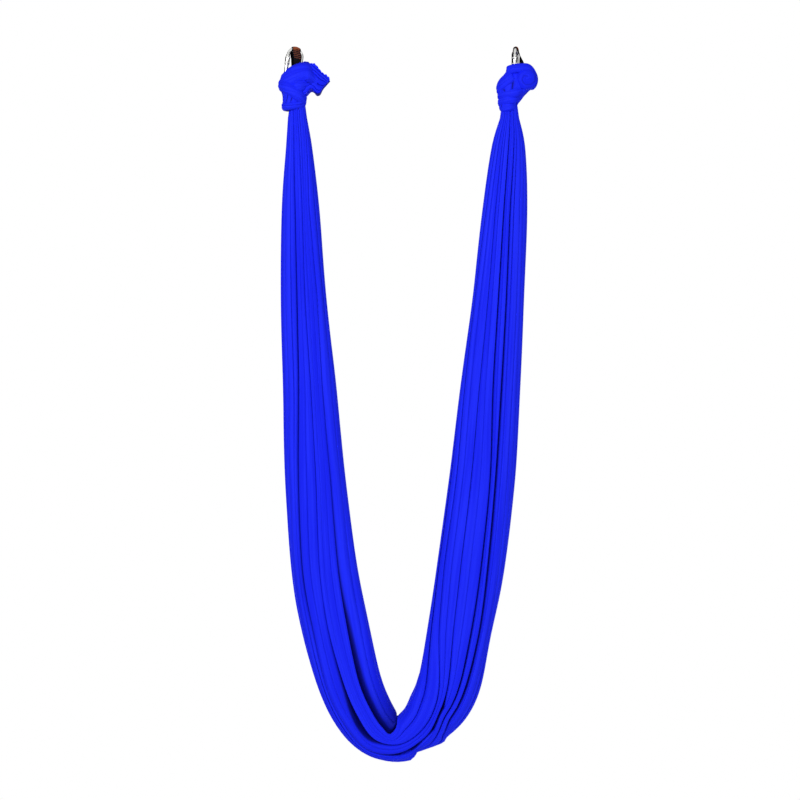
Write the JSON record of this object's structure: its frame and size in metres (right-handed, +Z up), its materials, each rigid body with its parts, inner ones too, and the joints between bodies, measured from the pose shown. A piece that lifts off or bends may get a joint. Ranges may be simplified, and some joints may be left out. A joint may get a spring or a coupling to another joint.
{
  "type": "aerial yoga hammock",
  "caption": "Long gathered fabric sling hanging in a U for aerial yoga, its ends knotted round oval screw-gate carabiners with a webbing loop over each.",
  "frame": {"origin": "the left carabiner's seat: the middle of the flat on the underside of its top bow, which bears on the hook", "axes": "+Z up, +X from the left seat to the right one as pictured, +Y away from the viewer"},
  "size_m": [0.7716, 0.1178, 2.1391],
  "materials": {
    "carabiner_steel": "bright zinc-plated steel, lightly worn",
    "pin_steel": "plain turned steel",
    "webbing": "black woven polyester webbing",
    "thread": "orange-brown bonded thread",
    "cloth": "saturated blue nylon tricot, soft matte with a slight sheen"
  },
  "bodies": {
    "root": {"left_carabiner_body": "carabiner_steel", "left_hinge_pin": "pin_steel", "left_webbing_loop": "webbing", "left_bar_tacks": "thread", "left_knot": "cloth", "left_tail": "cloth", "right_carabiner_body": "carabiner_steel", "right_hinge_pin": "pin_steel", "right_webbing_loop": "webbing", "right_bar_tacks": "thread", "right_knot": "cloth", "right_tail": "cloth"},
    "left_gate": {"left_carabiner_gate": "carabiner_steel", "left_latch_pin": "pin_steel", "left_gate_spring": "pin_steel"},
    "left_plunger": {"left_gate_plunger": "pin_steel"},
    "left_sleeve": {"left_locking_sleeve": "carabiner_steel"},
    "right_gate": {"right_carabiner_gate": "carabiner_steel", "right_latch_pin": "pin_steel", "right_gate_spring": "pin_steel"},
    "right_plunger": {"right_gate_plunger": "pin_steel"},
    "right_sleeve": {"right_locking_sleeve": "carabiner_steel"},
    "sling": {"sling_cloth": "cloth"}
  },
  "joints": [
    {"name": "sling_swing", "type": "hinge", "parent": "root", "child": "sling", "pos_m": [0.3255, 0, -0.2033], "axis": [1, 0, 0], "range_deg": [-45, 45]},
    {"name": "left_gate_hinge", "type": "hinge", "parent": "root", "child": "left_gate", "pos_m": [-0.02701, -0.01259, -0.06817], "axis": [-0.4226, 0.9063, 0], "range_deg": [0, 22], "stiffness_Nm_per_rad": 0.25, "springref_deg": -34.38},
    {"name": "left_plunger_slide", "type": "slide", "parent": "left_gate", "child": "left_plunger", "axis": [0.1261, 0.0588, 0.9903], "range_m": [0, 0.0011], "deforming": ["left_gate_spring"]},
    {"name": "left_sleeve_slide", "type": "slide", "parent": "left_gate", "child": "left_sleeve", "axis": [0.1261, 0.0588, 0.9903], "range_m": [0, 0.01]},
    {"name": "right_gate_hinge", "type": "hinge", "parent": "root", "child": "right_gate", "pos_m": [0.65832, -0.02201, -0.07182], "axis": [-0.9781, 0.2079, 0], "range_deg": [0, 22], "stiffness_Nm_per_rad": 0.25, "springref_deg": -34.38},
    {"name": "right_plunger_slide", "type": "slide", "parent": "right_gate", "child": "right_plunger", "axis": [0, 0, 1], "range_m": [0, 0.0011], "deforming": ["right_gate_spring"]},
    {"name": "right_sleeve_slide", "type": "slide", "parent": "right_gate", "child": "right_sleeve", "axis": [0, 0, 1], "range_m": [0, 0.01]}
  ],
  "couplings": [
    {"joint": "left_plunger_slide", "follows": "left_gate_hinge", "m_per_rad": 0.0028},
    {"joint": "right_plunger_slide", "follows": "right_gate_hinge", "m_per_rad": 0.0028}
  ]
}
